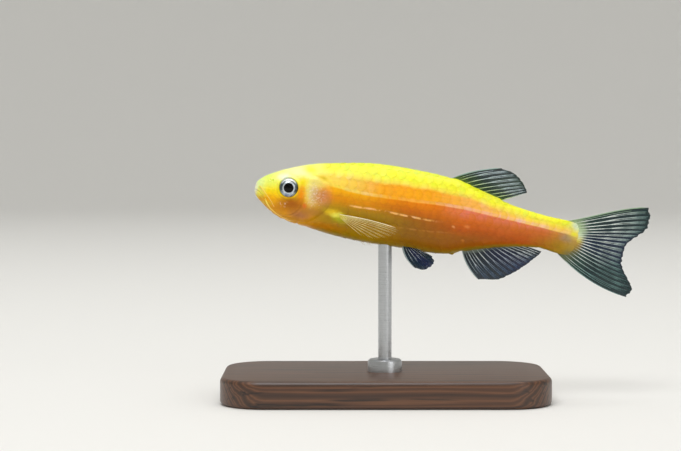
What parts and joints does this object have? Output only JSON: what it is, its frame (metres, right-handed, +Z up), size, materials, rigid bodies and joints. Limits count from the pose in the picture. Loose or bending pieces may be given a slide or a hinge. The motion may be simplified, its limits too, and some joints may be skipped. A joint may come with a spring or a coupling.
{
  "type": "zebra danio model on a display stand",
  "caption": "Life-size still model of a small golden-orange zebra danio swimming, nose slightly up, held by one steel rod on a flat wooden base.",
  "frame": {"origin": "centre of the flat underside of the display base, directly under the rod", "axes": "+X from the fish's nose towards its tail, the longest extent; +Y to the fish's right; +Z up"},
  "size_m": [0.0477, 0.02, 0.0261],
  "materials": {
    "head_skin": "satin fish skin, pale yellow above and orange below",
    "gill_cover": "pinkish silver sheen over orange",
    "flank_skin": "fine scales, lemon yellow back, orange flank, ochre belly",
    "eye": "clear gloss over silver iris and black pupil",
    "barbel": "satin skin",
    "fin": "translucent dark teal membrane with pale silvery rays",
    "pale_fin": "translucent membrane with creamy rays",
    "stand_wood": "dark oiled walnut",
    "stand_steel": "fine brushed steel"
  },
  "bodies": {
    "root": {"head": "head_skin", "lower_jaw": "head_skin", "gill_cover_left": "gill_cover", "gill_cover_right": "gill_cover", "trunk": "flank_skin", "tail_stem": "flank_skin", "eye_left": "eye", "eye_right": "eye", "barbel_rostral_left": "barbel", "barbel_rostral_right": "barbel", "barbel_maxillary_left": "barbel", "barbel_maxillary_right": "barbel", "dorsal_fin": "fin", "anal_fin": "fin", "caudal_fin": "fin", "pectoral_fin_left": "pale_fin", "pectoral_fin_right": "pale_fin", "pelvic_fin_left": "fin", "pelvic_fin_right": "fin", "stand_base": "stand_wood", "stand_rod": "stand_steel", "stand_collar": "stand_steel"}
  },
  "joints": []
}
